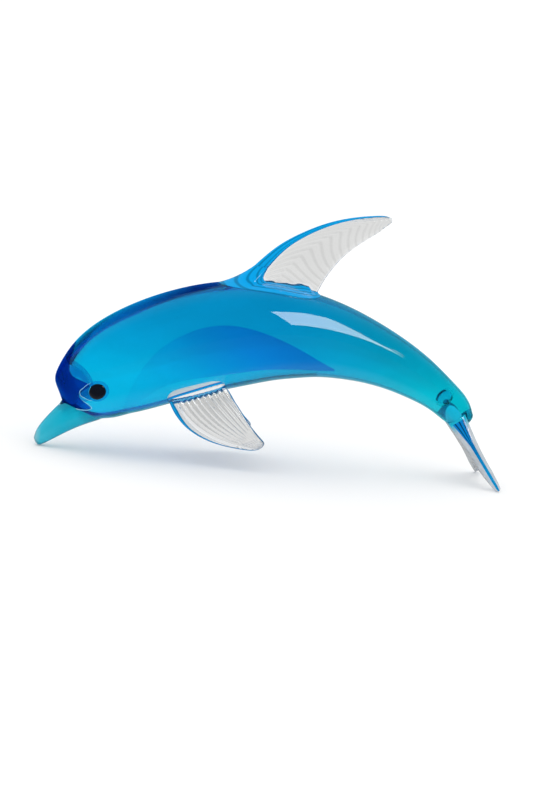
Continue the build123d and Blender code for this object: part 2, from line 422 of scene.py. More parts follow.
SKY = (0.004, 0.47, 1.0)
SKY_DARK = (0.003, 0.16, 0.62)
BUBBLE_CLEAR = (0.93, 0.97, 0.98)
EYE_BLACK = (0.004, 0.006, 0.012)
# Pale back of the eye, also the colour of its painted glow
EYE_BACK_AND_GLOW = (0.10, 0.85, 1.0)
sky_glass = glass(
    "sky_glass", ((-30, SKY), (50, (0.004, 0.40, 0.94))), clarity=0.3, strands=("across", 2.2, 0.55),
)
saddle_glass = glass(
    "saddle_glass", ((-30, SKY), (50, SKY)), clarity=0.25, strands=("across", 3.4, 0.42),
)
pad_glass = glass("pad_glass", (
    (0, (0.66, 0.80, 0.86)), (0.82, (0.76, 0.87, 0.91)), (0.9, SKY_DARK), (0.96, SKY_DARK),
    (1.02, SKY), (1.2, SKY),
), mark="across", clarity=0.3)
thread_glass = glass("thread_glass", (
    (90, (0.004, 0.26, 0.74)), (104, (0.004, 0.30, 0.80)), (110, SKY), (120, SKY),
), clarity=0.3, strands=("across", 1.7, 0.9))
bubble_glass = glass("bubble_glass", ((80, BUBBLE_CLEAR), (95, BUBBLE_CLEAR)), ior=1.12, waviness=0)
beak_glass = glass("beak_glass", (
    (-118, (0.36, 0.66, 0.74)), (-115, (0.05, 0.58, 0.74)), (-105, (0.01, 0.55, 0.74)),
    (-80, (0.01, 0.54, 0.75)),
), clarity=0.5)
fluke_glass = glass("fluke_glass", (
    (18, (0.01, 0.70, 0.98)), (29, (0.02, 0.70, 0.95)), (34, (0.80, 0.85, 0.90)),
    (68, (0.84, 0.88, 0.92)),
), axis=(0.565, 0, -0.825), clarity=0.42, streak=0.9, grain=150)
# The pressed panel: its darker threads along the crimps are painted shade of the ribs
panel_glass = glass(
    "panel_glass", ((0, (0.94, 0.96, 0.98)), (1, (0.81, 0.815, 0.81))), mark="across",
    strands=("crimp_shade", 1.0, 0.10, "across"),
)
window_glass = glass("window_glass", (
    (-100, (0.05, 0.50, 0.78)), (-90, (0.05, 0.62, 0.84)),
), ior=1.0, waviness=0)
# Pale, mostly milky glass for the beads on the cap's lip and the eye window's edge: a painted highlight
lip_highlight_glass = glass("lip_highlight_glass", ((-110, (0.45, 0.80, 0.95)), (-80, (0.10, 0.60, 0.90))), clarity=0.2)
black_glass = glass("black_glass", ((-100, EYE_BLACK), (-80, EYE_BLACK)), clarity=0.0, roughness=0.02)
# The eye's back: pale, with a faint painted glow that no lamp gives
eye_back_glow = glass("eye_back_glow", ((-100, EYE_BACK_AND_GLOW), (-80, EYE_BACK_AND_GLOW)), clarity=0.0, roughness=0.4, glow=0.3)


# ------------ patches laid on the body

def dense_body():
    """A fine search tree of the body's skin, for laying patches on it."""
    t = dome_spaced(300, 40)[:, None]
    angle = full_turn(320)
    grid = body_points(t, angle)
    return BVHTree.FromPolygons(grid.reshape(-1, 3).tolist(), tube_faces(*grid.shape[:2]))


def outward_hits(tree, origin, directions):
    """Where rays from a point inside the body leave it."""
    flat = directions.reshape(-1, 3)
    hits = [tree.ray_cast(Vector(origin), Vector(d))[0] for d in flat]
    return np.array(hits).reshape(directions.shape)


def spread_directions(axis, turn, spread):
    """Directions that lean from an axis by spread: at turn 0 upwards, then towards axis x up."""
    up = np.array((0, 0, 1.0)) - axis * axis[2]
    up /= np.linalg.norm(up)
    side = np.cross(axis, up)
    sideways = up * np.cos(turn)[..., None] + side * np.sin(turn)[..., None]
    return axis * np.cos(spread)[..., None] + sideways * np.sin(spread)[..., None]


def grid_normals(grid):
    """Unit normals of a polar grid of points, from its own neighbours."""
    along = np.gradient(grid, axis=0)
    across = np.roll(grid, -1, axis=1) - np.roll(grid, 1, axis=1)
    normal = np.cross(across, along)
    return normal / np.maximum(np.linalg.norm(normal, axis=-1, keepdims=True), 1e-9)


def closed_lens(name, outer, inner):
    """A closed lens between two polar grids (rings, around, 3), filled at their centres."""
    rings, around = outer.shape[:2]
    points = list(outer.reshape(-1, 3)) + list(inner.reshape(-1, 3))
    low = rings * around
    faces = tube_faces(rings, around) + tube_faces(rings, around, first=low, flip=True)
    close_end(points, faces, outer[0], 0)
    close_end(points, faces, inner[0], low)
    last = (rings - 1) * around
    for j in range(around):
        k = (j + 1) % around
        faces.append((last + j, last + k, low + last + k, low + last + j))
    return mesh_object(name, points, faces)


def lens_patch(name, tree, origin, axis, reach, proud, depth, rings=26, around=180, edge=6.0):
    """A lens of glass on the body's skin, spread about the axis that leaves from the origin.

    reach gives its edge in degrees from the axis, by turn angle in degrees. proud and depth are
    how far it stands out of the skin and goes in, and edge is how late it thins at its edge."""
    axis = np.array(axis, float)
    turn = full_turn(around)
    share = np.linspace(0.03, 1, rings)[:, None] ** 0.8
    spread = np.radians(reach(np.degrees(turn))) * share
    skin = outward_hits(tree, origin, spread_directions(axis, turn, spread))
    normal = grid_normals(skin)
    if np.sum(normal[0, 0] * axis) < 0:
        normal = -normal
    round_off = rounded(share**edge)[..., None]
    outer = skin + normal * (proud * round_off - LENS_SINK[0])
    inner = skin - normal * (depth * round_off + LENS_SINK[1])
    return closed_lens(name, outer, inner)


def edge_bead(name, tree, origin, axis, reach, turns, radius, steps=160, around=12):
    """A thin bead of glass along part of a patch's edge, tapered to its ends."""
    turn = np.radians(np.linspace(*turns, steps))
    direction = spread_directions(np.array(axis, float), turn, np.radians(reach(np.degrees(turn))))
    line = outward_hits(tree, origin, direction)
    along = np.gradient(line, axis=0)
    along /= np.linalg.norm(along, axis=1, keepdims=True)
    out = direction - along * np.sum(direction * along, axis=1, keepdims=True)
    out /= np.linalg.norm(out, axis=1, keepdims=True)
    cross = np.cross(along, out)
    size = radius * np.sqrt(np.clip(1 - np.linspace(-1, 1, steps) ** 4, 0.001, 1))[:, None, None]
    angle = np.linspace(0, TURN, around, endpoint=False)[None, :, None]
    rings = line[:, None] + size * (out[:, None] * np.cos(angle) + cross[:, None] * np.sin(angle))
    return closed_tube(name, rings)


def around_points(points):
    """A smooth closed function of an angle in degrees, through (angle, value) points."""
    angles = np.array([p[0] for p in points], float)
    values = np.array([p[1] for p in points], float)

    def value(angle):
        nearby = [np.interp(angle + nudge, angles, values, period=360) for nudge in range(-4, 5)]
        return np.mean(nearby, axis=0)
    return value


def body_strip(name, t_span, half_angle, proud, depth, rows=120, columns=40):
    """A lens-shaped strip along the body's back, between two places on the centre line."""
    t = np.linspace(*t_span, rows)[:, None]
    share = np.sin(np.linspace(-math.pi / 2, math.pi / 2, columns))[None, :]
    ends = np.linspace(0, 1, rows)[:, None]
    taper = rounded((2 * ends - 1) ** 12)
    angle = share * half_angle(ends) + 0 * t
    rise = rounded(share**4) * taper
    outer = body_points(t, angle, inset=STRIP_SINK[0] - proud * rise)
    inner = body_points(t, angle, inset=STRIP_SINK[1] + depth * rise)
    return closed_sheet(name, outer, inner)


def skin_height(tree, places):
    """Height of the body's skin above or below each of these places."""
    down = Vector((0, 0, -1))
    flat = places.reshape(-1, 3)
    heights = [tree.ray_cast(Vector((x, y, 200)), down)[0].z for x, y, z in flat]
    return np.array(heights).reshape(places.shape[:-1])


# ------------ fins

# How far a pressed panel lies below the rim round it
PANEL_DROP = 0.25
# Where, from root to tip, a fin starts to thin towards its tip, and where its rows crowd
TIP_START = 0.9
CROWD_START = 0.88
# A collar's glass is marked from 0 at its upper edge to this at its lower edge
COLLAR_MARKS = 1.2


class Fin:
    """A tapered plate: rows of (front edge, rear edge) points in a plane, from root to tip.

    half_thickness, crimps and panel are functions of v (root to tip) and the share of the chord
    from the front edge. The pressed panel is where panel is 1: it lies lower, with ribs as high
    as ribs says, one for each whole number in crimps. Up to v = web the rear edge stays square,
    so that two lobes meet there as one web."""

    def __init__(self, origin, across, along, rows, half_thickness, ribs=0.0, crimps=None,
                 panel=None, web=0.0):
        self.origin = np.array(origin, float)
        self.across = np.array(across, float)
        self.along = np.array(along, float)
        self.normal = np.cross(self.across, self.along)
        self.front = Curve([row[0] for row in rows], even=True)
        self.rear = Curve([row[1] for row in rows], even=True)
        self.half_thickness = half_thickness
        self.ribs = ribs
        self.crimps = crimps
        self.panel = panel
        self.web = web

    def points(self, v, turn, out=0.0):
        """Skin points: v runs root to tip, turn is 0 at the front edge and pi at the rear."""
        v, turn, out = np.broadcast_arrays(np.asarray(v, float), turn, out)
        share = (1 - np.cos(turn)) / 2
        front, rear = self.front(v), self.rear(v)
        edge = (rear - front) / np.maximum(np.linalg.norm(rear - front, axis=-1, keepdims=True), 1e-6)
        flat = front + (rear - front) * share[..., None]
        near_tip = np.clip((v - TIP_START) / (1 - TIP_START), 0, 1)
        close = rounded(near_tip**2)
        round_off = rounded(np.abs(np.cos(turn)) ** 5)
        if self.web:
            flat_rear = (np.cos(turn) < 0) * (1 - smooth_step(self.web - 0.04, self.web, v))
            round_off = round_off + (1 - round_off) * flat_rear
        thick = self.half_thickness(v, share)
        if self.panel:
            ribs = self.ribs * np.sin(TURN * self.crimps(v, share))
            thick = thick + self.panel(v, share) * (ribs - PANEL_DROP)
        thick = thick * close
        lift = (thick + out) * round_off * np.sign(np.sin(turn))
        flat = flat - edge * (out * np.cos(turn))[..., None]
        return (
            self.origin
            + self.across * flat[..., 0, None]
            + self.along * flat[..., 1, None]
            + self.normal * lift[..., None]
        )

    def build(self, name, rows=220, around=260):
        """The whole plate as a closed mesh, its rows crowded towards the tip."""
        turn = full_turn(around)
        ease = np.sin(np.linspace(0.08, math.pi / 2, 26))
        v = np.concatenate([np.linspace(0, CROWD_START, rows), CROWD_START + (1 - CROWD_START) * ease])
        v = np.minimum(v, 0.9995)[:, None]
        marks = {}
        if self.panel:
            share = (1 - np.cos(turn)) / 2
            # The crimp count also places the painted shade along the ribs
            marks = {"across": self.panel(v, share), "crimp_shade": self.crimps(v, share)}
        return closed_tube(name, self.points(v, turn), marks)

    def edging(self, name, v_span, width, proud, depth, middle=0.0, rows=140, columns=44,
               flowing=False):
        """A shell of coloured glass wrapped round the front edge (middle 0) or the rear (pi).

        Its threads run side by side, or flowing, as bows that follow the edge."""
        v = np.linspace(*v_span, rows)[:, None]
        ends = np.linspace(0, 1, rows)[:, None]
        taper = rounded((2 * ends - 1) ** 16)
        share = np.sin(np.linspace(-math.pi / 2, math.pi / 2, columns))[None, :]
        half = np.arccos(1 - 2 * np.clip(width(v), 0.002, 0.9))
        turn = middle + share * half
        rise = rounded(np.abs(share) ** 6) * taper
        outer = self.points(v, turn, out=proud * rise - EDGE_SINK[0])
        inner = self.points(v, turn, out=-depth * rise - EDGE_SINK[1])
        across = np.sqrt(1 - share**2) if flowing else share
        return closed_sheet(name, outer, inner, across=across)

    def collar(self, name, v_span, proud, depth, rows=50, around=220):
        """A ring of coloured glass wrapped all round the fin's root."""
        low, high = v_span
        ends = np.linspace(0, 1, rows)[:, None]
        turn = full_turn(around)
        share = (1 - np.cos(turn)) / 2
        v = low + (high(share) - low) * ends
        rise = rounded(np.abs(2 * ends - 1) ** 8)
        outer = self.points(v, turn, out=proud * rise - EDGE_SINK[0])
        inner = self.points(v, turn, out=-depth * rise - EDGE_SINK[1])
        return closed_sheet(name, outer, inner, wrap=True, across=ends * COLLAR_MARKS)


# ------------ body pieces

# The air bubble near the tail
BUBBLE_CENTRE = np.array((88.4, 0.0, 42.0))
BUBBLE_RADII = np.array((4.2, 3.2, 3.9))


def make_casing():
    """The outer skin, with the air bubble near the tail as a void in it."""
    skin = body_skin("body_casing")
    rings, around = 24, 32
    polar = np.linspace(0.05, math.pi - 0.05, rings)[:, None]
    turn = full_turn(around)
    ball = np.stack(np.broadcast_arrays(
        np.cos(polar), np.sin(polar) * np.cos(turn), np.sin(polar) * np.sin(turn)), axis=-1)
    bubble = closed_tube("bubble", BUBBLE_CENTRE + BUBBLE_RADII * ball)
    fix = bmesh.new()
    fix.from_mesh(bubble.data)
    bmesh.ops.reverse_faces(fix, faces=fix.faces)
    for face in fix.faces:
        face.material_index = 1
    fix.from_mesh(skin.data)
    fix.to_mesh(skin.data)
    fix.free()
    discard(bubble)
    finish_piece(skin, casing_glass, "casing_glass", "casing")
    skin.data.materials.append(bubble_glass)


# Deep blue core: (x, z, half height)
CORE_STATIONS = [
    (-75, 27.5, 1.2), (-70, 34.0, 3.4), (-64, 41.0, 5.2), (-55, 48.0, 7.2), (-42, 54.0, 9.0),
    (-27, 58.0, 9.4), (-8, 59.4, 7.0), (10, 57.8, 3.9), (24, 55.4, 1.4), (30, 54.4, 0.4),
]
CORE_FLATNESS = 1.25


def core_body():
    curve = Curve(CORE_STATIONS)
    t = np.linspace(0, 1, 60)[:, None]
    spot = curve(t)
    along = curve.heading(t)
    angle = full_turn(64)
    high = np.clip(spot[..., 2], 0.05, None)
    x = spot[..., 0] - along[..., 1] * high * np.cos(angle)
    z = spot[..., 1] + along[..., 0] * high * np.cos(angle)
    y = high * CORE_FLATNESS * np.sin(angle)
    return closed_tube("belly_core", np.stack([x, y, z], axis=-1))


def stripe_half_angle(ends):
    return np.interp(ends, (0, 0.2, 0.5, 1), (0.30, 0.46, 0.48, 0.30))


def make_stripe():
    """The cobalt stripe along the back, from the cap to the dorsal fin."""
    stripe = body_strip(
        "back_stripe_overlay", (0.02, 0.405), stripe_half_angle, proud=0.06, depth=1.0,
    )
    finish_piece(stripe, stripe_glass, "cobalt_glass", "back_stripe")


# ------------ head

CAP_CENTRE = (-92, 0, 33)
AHEAD = (-1, 0, 0)
# The stretch of the cap's edge that is raised and edged with a pale bead, a painted highlight, in
# degrees round from the top
HIGHLIGHT_LIP_TURNS = (114, 246)
# Cobalt cap: its edge in degrees from straight ahead, going round from the top
CAP_REACH = [
    (0, 68), (15, 60), (30, 48), (50, 42), (66, 47), (74, 60), (81, 80), (87, 77), (95, 66), (104, 60),
    (112, 63), (118, 76), (124, 88), (131, 89), (139, 72), (149, 55), (164, 43), (180, 37),
]
cap_reach = around_points(CAP_REACH + [(360 - a, r) for a, r in CAP_REACH[-2:0:-1]])


def make_cap(tree):
    """The cobalt cap on the forehead. Under the eyes and over the beak it ends in a raised lip, edged
    with a pale bead that is a painted highlight.
    """
    cap = lens_patch(
        "forehead_cap", tree, CAP_CENTRE, AHEAD, cap_reach, proud=0.06, depth=1.2, edge=7,
        rings=40, around=260,
    )
    finish_piece(cap, cobalt_glass, "cobalt_glass", "cobalt_cap")
    # The bead along the lip is a real raised edge, and its pale colour is a painted highlight
    lip = edge_bead("cap_lip_highlight", tree, CAP_CENTRE, AHEAD, cap_reach, HIGHLIGHT_LIP_TURNS, radius=0.32)
    finish_piece(lip, lip_highlight_glass, "cobalt_glass", "cobalt_cap")


# Beak: (top x, top z, bottom x, bottom z, half width), from inside the throat to the tip
BEAK_SECTIONS = [
    (-88, 37, -77, 20.5, 8.0), (-95, 31, -86, 15.6, 9.2), (-101, 26, -94.4, 12.0, 9.3),
    (-106.0, 22.2, -101.3, 8.2, 7.8), (-109.8, 18.0, -106, 5.2, 6.4), (-113.2, 13.6, -110.4, 2.4, 5.2),
    (-115.9, 9.4, -113.4, 0.7, 4.0), (-117.2, 6.2, -115.4, 0.4, 2.7), (-117.7, 3.6, -116.8, 1.6, 1.0),
]


def beak_body():
    curve = Curve(BEAK_SECTIONS)
    spot = curve(np.linspace(0, 1, 90))[:, None, :]
    angle = full_turn(72)
    lean = (1 + np.cos(angle)) / 2
    x = spot[..., 2] + (spot[..., 0] - spot[..., 2]) * lean
    z = spot[..., 3] + (spot[..., 1] - spot[..., 3]) * lean
    y = spot[..., 4] * np.sin(angle)
    return closed_tube("beak_bit", np.stack([x, y, z], axis=-1))


EYE_CENTRE = (-91.6, 5.0, 32.0)
# The eye window's teardrop points ahead and 12 degrees down: this far round from the top
TEAR_POINT = 102
# Its edge, in degrees seen from the eye's centre: (turn from its point, reach)
TEAR_OUTLINE = [
    (-60, 26), (-25, 33), (-8, 42), (8, 42), (25, 34), (60, 26), (120, 25), (180, 25), (240, 25),
]
# How far round from the point the pale bead along its edge runs, both ways: a painted highlight
TEAR_HIGHLIGHT_BEAD = 65
PUPIL_REACH = 19.5


def pupil_reach(turn):
    return np.full_like(turn, PUPIL_REACH)


def make_eye(tree, side, word):
    """A clear teardrop window laid on the head, a pale bead round its point as a painted highlight, and
    a black pupil.
    """
    x, y, z = EYE_CENTRE
    centre = (x, side * y, z)
    axis = (0, side, 0)
    point = -TEAR_POINT * side
    window = around_points([(point + turn, reach) for turn, reach in TEAR_OUTLINE])
    ring = lens_patch(
        f"eye_window_{word}", tree, centre, axis, window, proud=0.07, depth=1.6, edge=5,
    )
    finish_piece(ring, window_glass, "clear_glass", f"eye_ring_{word}")
    # A pale bead round the window's point: a painted highlight on its edge
    outline = edge_bead(
        f"eye_outline_highlight_{word}", tree, centre, axis, window,
        (point - TEAR_HIGHLIGHT_BEAD, point + TEAR_HIGHLIGHT_BEAD), radius=0.16,
    )
    finish_piece(outline, lip_highlight_glass, "clear_glass", f"eye_ring_{word}")
    bead = lens_patch(
        f"eye_pupil_{word}", tree, centre, axis, pupil_reach, proud=1.1, depth=1.3, edge=2.5,
        around=96,
    )
    finish_piece(bead, black_glass, "black_glass", f"eye_bead_{word}")
    # Its back is pale, with a faint painted glow, so that from the other side it shows through the head
    # as a blue spot
    bead.data.materials.append(eye_back_glow)
    for face in bead.data.polygons:
        if face.normal.y * side < 0.2:
            face.material_index = 1


# ------------ dorsal fin

# Rows of the dorsal fin: its (x, z) at the front edge and at the rear edge
DORSAL_ROWS = [
    ((-27.5, 85.5), (14.5, 82.5)), ((-22.8, 92.0), (17.6, 89.8)), ((-18.3, 97.7), (20.2, 95.8)),
    ((-12.5, 104.2), (23.6, 101.8)), ((-3.5, 112.6), (28.6, 108.6)), ((8.5, 120.2), (34.6, 114.4)),
    ((20.5, 125.7), (40.3, 118.9)), ((32, 129.0), (45, 122.4)), ((41.2, 130.6), (48.0, 125.2)),
    ((47.4, 131.1), (51.0, 127.9)), ((51.0, 130.2), (51.1, 129.8)),
]
# Where the dorsal fin's chevrons turn, as a share of the chord, and how far apart they lie
CRIMP_RIDGE = 0.42
CRIMP_SPACING = 0.052
# Width of its blue front rim, as a share of the chord: places along the fin, and widths
DORSAL_RIM = (
    (0.1, 0.2, 0.3, 0.4, 0.5, 0.6, 0.7, 0.8, 0.97),
    (0.24, 0.19, 0.16, 0.13, 0.11, 0.105, 0.09, 0.075, 0.06),
)
# Where the blue root gives way to the pressed panel: shares of the chord, and heights
SADDLE_FRONT = 0.245
SADDLE_LINE = (
    (0, 0.165, 0.178, 0.195, 0.215, 0.25, 0.30, 0.43, 0.60, 0.76, 0.86, 0.93, 1),
    (
        SADDLE_FRONT, SADDLE_FRONT, 0.235, 0.20, 0.168, 0.142, 0.125, 0.105, 0.118, 0.138, 0.130,
        0.098, 0.085,
    ),
)
# How far the blue root spreads over the back: beside the fin, in front of it and behind it
SADDLE_SPREAD = (8.5, 10.0, 2.0)


def dorsal_thickness(v, share):
    return 2.5 - 1.4 * v


def dorsal_crimps(v, share):
    """Crimps that meet in chevrons, counted from the root, their points towards the tip."""
    ridge = np.sqrt((share - CRIMP_RIDGE) ** 2 + 0.004)
    slant = np.where(share > CRIMP_RIDGE, 0.32, 0.5)
    return (v + slant * ridge) / CRIMP_SPACING


def dorsal_rim(v):
    return np.interp(v, *DORSAL_RIM)


def saddle_top(share):
    return np.interp(share, *SADDLE_LINE)


def dorsal_panel(v, share):
    """1 on the pressed panel, inside the front rim, the blue root, the rear edge and the tip."""
    rim = dorsal_rim(v)
    floor = saddle_top(share)
    inside = smooth_step(rim, rim + 0.05, share) * (1 - smooth_step(0.96, 0.995, share))
    return inside * smooth_step(floor, floor + 0.03, v) * (1 - smooth_step(0.9, 0.97, v))


def around_average(values, reach=6):
    """A closed row of values, each averaged with its neighbours."""
    return np.mean([np.roll(values, shift) for shift in range(-reach, reach + 1)], axis=0)


def saddle_ring(tree, fin, around=240, rows=34):
    """A hollow-curved wedge of glass round the fin's root, from the back up to the pressed panel.

    At each turn it runs from its foot on the back, hollowed towards the corner where the fin
    leaves the skin, up to its crest on the fin."""
    turn = full_turn(around)[0]
    share = (1 - np.cos(turn)) / 2
    climb = np.linspace(0.0, 0.2, 60)[:, None]
    wall = fin.points(climb, turn, out=0.05)
    first = np.argmax(wall[..., 2] > skin_height(tree, wall), axis=0)
    corner = wall[first, np.arange(around)]
    crest = np.maximum(saddle_top(share), around_average(climb[first, 0] + 0.012))
    top = fin.points(crest, turn, out=0.06)
    beside, ahead, behind = SADDLE_SPREAD
    lead, trail = np.clip(np.cos(turn), 0, 1) ** 3, np.clip(-np.cos(turn), 0, 1) ** 3
    reach = beside + (ahead - beside) * lead + (behind - beside) * trail
    outward = np.stack([-np.cos(turn) * 0.9, np.copysign(np.sin(turn), corner[:, 1])], axis=-1)
    outward /= np.linalg.norm(outward, axis=-1, keepdims=True)
    foot = corner.copy()
    foot[:, :2] += outward * reach[:, None]
    foot[:, 2] = skin_height(tree, foot)
    w = np.linspace(0, 1, rows)[:, None, None]
    hollow = 0.5 * corner + 0.25 * (foot + top)
    outer = (1 - w) ** 2 * foot + 2 * w * (1 - w) * hollow + w**2 * top
    lowest = skin_height(tree, outer) + 0.06 + 0.9 * (w * (1 - w))[..., 0]
    outer[..., 2] = np.maximum(outer[..., 2], lowest)
    centre = np.stack([corner[:, 0], 0 * corner[:, 1], corner[:, 2]], axis=-1)
    sunk = corner + (centre - corner) * 0.5 - np.array((0, 0, 0.6))
    under = fin.points(crest - 0.004, turn, out=-0.7)
    inner = (1 - w) ** 2 * foot + 2 * w * (1 - w) * sunk + w**2 * under
    inner[..., 2] = np.minimum(inner[..., 2], outer[..., 2] - 0.35)
    ahead_of_panel = np.clip((SADDLE_FRONT - share) / SADDLE_FRONT, 0, 1)
    flow = np.hypot(ahead_of_panel[None, :], 1.15 * (1 - w[..., 0]))
    return closed_sheet("dorsal_root", outer, inner, wrap=True, across=flow)


def make_dorsal(tree, body):
    fin = Fin(
        (0, 0, 0), (1, 0, 0), (0, 0, 1), DORSAL_ROWS, dorsal_thickness, ribs=0.10,
        crimps=dorsal_crimps, panel=dorsal_panel,
    )
    blade = trim(fin.build("dorsal_blade"), body)
    finish_piece(blade, panel_glass, "clear_glass", "dorsal_panel")
    rim = fin.edging(
        "dorsal_rim", (SADDLE_FRONT - 0.005, 0.97), dorsal_rim, proud=0.05, depth=0.7, flowing=True,
    )
    finish_piece(rim, saddle_glass, "blue_glass", "dorsal_edge")
    finish_piece(saddle_ring(tree, fin), saddle_glass, "blue_glass", "dorsal_saddle")


# ------------ pectoral fins

PECTORAL_ROOT = (-54, 13.8, 32)
PECTORAL_ACROSS = (0.946, 0, 0.323)
PECTORAL_ALONG = (0.300, 0.372, -0.878)
# How far the right fin sits further back
PECTORAL_SHIFT = 2.5
# Rows in the fin's own plane: (across, along) at the front edge and at the rear edge
PECTORAL_ROWS = [
    ((-1.8, -7.5), (27.0, -9.0)), ((-0.9, 0.5), (28.4, -1.0)), ((0.4, 8.0), (30.0, 6.0)),
    ((3.4, 15.3), (32.0, 11.8)), ((8.2, 21.6), (33.6, 17.0)), ((14.4, 26.9), (35.0, 21.5)),
    ((21.2, 31.0), (36.6, 25.8)), ((28.0, 34.2), (38.2, 29.4)), ((33.2, 36.1), (39.6, 32.2)),
    ((36.8, 36.4), (40.2, 34.1)), ((39.0, 35.7), (39.3, 35.4)),
]


def pectoral_thickness(v, share):
    """Flared at the root, thinner towards the tip, and thicker along the front edge."""
    flare = 2.4 * np.exp(-((v - 0.075) / 0.042) ** 2) + 2.5 * np.exp(-(v / 0.05) ** 2)
    rim = 0.5 * (1 - smooth_step(0.1, 0.28, share)) * smooth_step(0.1, 0.2, v)
    return 1.9 - 0.8 * v + flare + rim


def pectoral_crimps(v, share):
    """Crimps that fan out from the root and bend towards the tip."""
    return 10.5 * (share - 0.10 * np.sin(math.pi * np.clip(v, 0, 1)))


def pectoral_panel(v, share):
    inside = smooth_step(0.08, 0.2, share) * (1 - smooth_step(0.93, 0.99, share))
    return inside * smooth_step(0.12, 0.16, v) * (1 - smooth_step(0.93, 0.98, v))


def front_streak(v):
    """Width of the blue threads along a pectoral fin's front edge."""
    return np.interp(v, (0.12, 0.2, 0.35, 0.6, 1), (0.05, 0.06, 0.025, 0.015, 0.03))


def rear_streak(v):
    """Width of the thread along its rear edge, which widens into the blue tip."""
    return np.interp(v, (0.2, 0.8, 0.9, 0.95, 1), (0.006, 0.008, 0.02, 0.12, 0.2))


def pad_foot(share):
    """Where along the fin the pad of glass at its root ends."""
    return np.full_like(share, 0.112)


def make_pectoral(body, side, word, back):
    x, y, z = PECTORAL_ROOT
    ahead, out, down = PECTORAL_ALONG
    fin = Fin(
        (x + back, side * y, z), PECTORAL_ACROSS, (ahead, side * out, down), PECTORAL_ROWS,
        pectoral_thickness, ribs=0.16, crimps=pectoral_crimps, panel=pectoral_panel,
    )
    blade = trim(fin.build(f"pectoral_blade_{word}"), body)
    finish_piece(blade, panel_glass, "clear_glass", f"pectoral_panel_{word}")
    front = fin.edging(f"pectoral_rim_{word}", (0.12, 0.99), front_streak, proud=0.05, depth=0.5)
    finish_piece(front, sky_glass, "clear_glass", f"pectoral_edge_{word}")
    rear = fin.edging(
        f"pectoral_rear_{word}", (0.2, 0.99), rear_streak, proud=0.05, depth=0.5, middle=math.pi,
    )
    finish_piece(rear, sky_glass, "clear_glass", f"pectoral_edge_{word}")
    pad = fin.collar(f"pectoral_root_{word}", (0.06, pad_foot), proud=0.06, depth=0.6)
    finish_piece(trim(pad, body), pad_glass, "blue_glass", f"pectoral_pad_{word}")


# ------------ tail

# The tail runs down and back from its root, square to its normal
TAIL_ROOT = np.array((92, 0, 37.0))
TAIL_SLOPE = math.radians(55.6)
TAIL_ALONG = np.array((math.cos(TAIL_SLOPE), 0, -math.sin(TAIL_SLOPE)))
TAIL_NORMAL = np.array((math.sin(TAIL_SLOPE), 0, math.cos(TAIL_SLOPE)))
# Knuckle stations: (distance, half width, half thickness)
KNUCKLE = [(-4, 7.0, 6.2), (0, 7.6, 5.7), (3, 8.0, 5.3), (5.98, 8.2, 4.95)]
# Rows of a lobe: (along the tail, sideways) at the outer edge and at the middle or rear edge
FLUKE_ROWS = [
    ((6.0, -8.2), (6.0, -0.01)), ((11.5, -9.8), (13.0, -0.01)), ((17.0, -12.2), (20.0, -0.01)),
    ((23.0, -15.2), (27.5, -0.01)), ((29.0, -18.4), (33.2, -0.3)), ((34.5, -21.8), (37.6, -10.2)),
    ((39.5, -24.9), (41.2, -18.8)), ((42.6, -26.7), (43.4, -24.4)), ((44.0, -27.2), (44.1, -26.9)),
]
# Up to here the two lobes are one web, and beyond it they part at the notch
FLUKE_NOTCH = 0.5


def fluke_thickness(v, share):
    places = (0, 0.125, 0.25, 0.375, 0.625, 0.75, 0.875, 1)
    return np.interp(v, places, (4.9, 4.3, 3.6, 3.0, 2.5, 2.0, 1.5, 1.0))


def fluke_thread(v):
    """Width of the blue threads along a lobe's edge: wide at the root, then a narrow stripe."""
    return np.interp(v, (0, 0.1, 0.3, 0.5, 1), (0.085, 0.045, 0.010, 0.008, 0.02))


def knuckle_body():
    spot = Curve(KNUCKLE)(np.linspace(0, 1, 60))[:, None, :]
    angle = full_turn(72)
    return closed_tube("tail_knuckle_bit", (
        TAIL_ROOT
        + TAIL_ALONG * spot[..., 0, None]
        + np.array((0, 1, 0)) * (spot[..., 1] * np.sin(angle))[..., None]
        + TAIL_NORMAL * (spot[..., 2] * np.cos(angle))[..., None]
    ))


def make_fluke(body, side, word):
    fin = Fin(TAIL_ROOT, TAIL_ALONG, (0, -side, 0), FLUKE_ROWS, fluke_thickness, web=FLUKE_NOTCH)
    blade = trim(fin.build(f"fluke_lobe_{word}", rows=120, around=120), body)
    finish_piece(blade, fluke_glass, "clear_glass", f"fluke_blade_{word}")
    edge = fin.edging(f"fluke_rim_{word}", (0.02, 0.985), fluke_thread, proud=0.05, depth=0.8)
    finish_piece(trim(edge, body), thread_glass, "blue_glass", f"fluke_edge_{word}")


# ------------ stage, light and camera

# The camera: where it stands round the piece, how it rolls, its distance and the height it
# takes in, in metres, and the point it looks at
VIEW_AZIMUTH = math.radians(-11.35)
VIEW_ELEVATION = math.radians(9.6)
VIEW_ROLL = math.radians(6.76)
VIEW_DISTANCE = 4.0
VIEW_HEIGHT = 0.4028
SENSOR = 36.0
VIEW_TARGET = Vector((-1.8, 0.3, 32.5)) * MM


